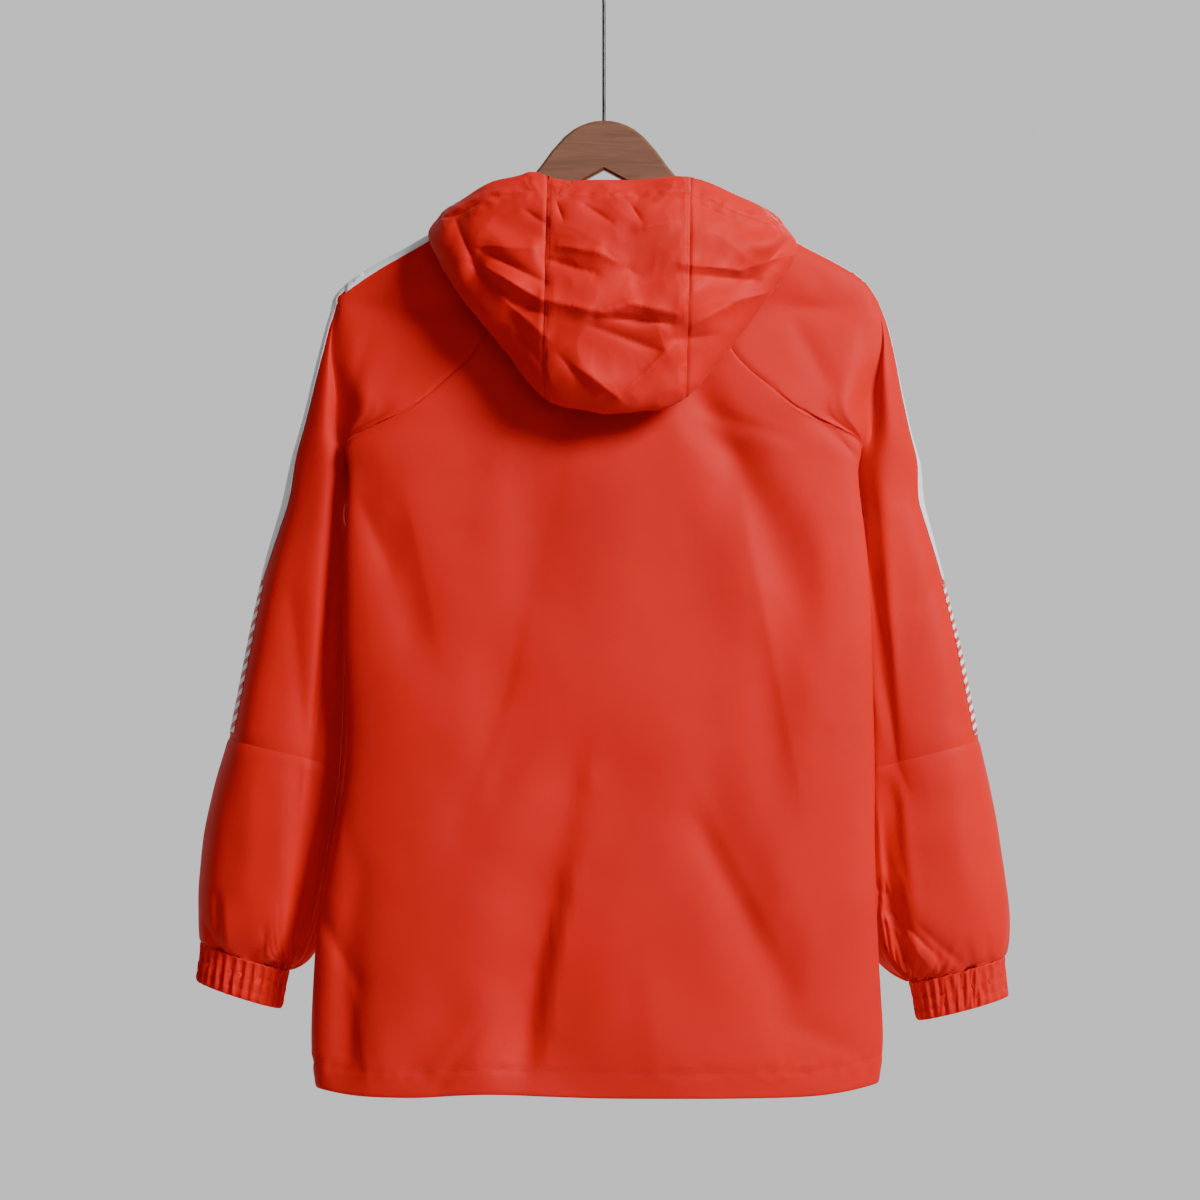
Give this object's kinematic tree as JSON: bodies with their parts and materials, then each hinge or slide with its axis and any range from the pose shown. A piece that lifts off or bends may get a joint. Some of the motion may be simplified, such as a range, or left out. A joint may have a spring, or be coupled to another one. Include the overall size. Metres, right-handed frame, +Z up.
{
  "type": "windbreaker on hanger",
  "caption": "Light hooded nylon windbreaker with a front zip, raglan sleeves, sleeve tapes and gathered cuffs, hanging from a flat wooden hanger by its wire hook.",
  "frame": {"origin": "inner top of the hook's loop, where it rests on a rail", "axes": "+Z up, -Y out of the garment's back, +Y out of its front, +X towards the wearer's right"},
  "size_m": [0.6801, 0.1605, 0.9642],
  "materials": {
    "red_nylon": "smooth plain-weave nylon with a slight sheen",
    "white_tape": "plain white woven tape",
    "zip_tape": "woven zip tape",
    "zip_metal": "plain satin metal",
    "hanger_wood": "satin varnished hardwood",
    "black_wire": "black coated wire"
  },
  "bodies": {
    "jacket": {"back": "red_nylon", "front_left": "red_nylon", "front_right": "red_nylon", "sleeve_upper_left": "red_nylon", "sleeve_upper_right": "red_nylon", "sleeve_lower_left": "red_nylon", "sleeve_lower_right": "red_nylon", "cuff_left": "red_nylon", "cuff_right": "red_nylon", "hood_centre": "red_nylon", "hood_side_left": "red_nylon", "hood_side_right": "red_nylon", "sleeve_tape_left": "white_tape", "sleeve_tape_right": "white_tape", "sleeve_trim_left": "white_tape", "sleeve_trim_right": "white_tape", "zip_tape_left": "zip_tape", "zip_tape_right": "zip_tape", "zip_slider": "zip_metal", "hanger_wood": "hanger_wood", "hanger_hook": "black_wire"},
    "zip_pull": {"zip_pull_tab": "zip_metal"}
  },
  "joints": [
    {"name": "pull_tab_hinge", "type": "hinge", "parent": "jacket", "child": "zip_pull", "pos_m": [0, 0.0354, -0.3], "axis": [1, 0, 0], "range_deg": [0, 120]}
  ]
}
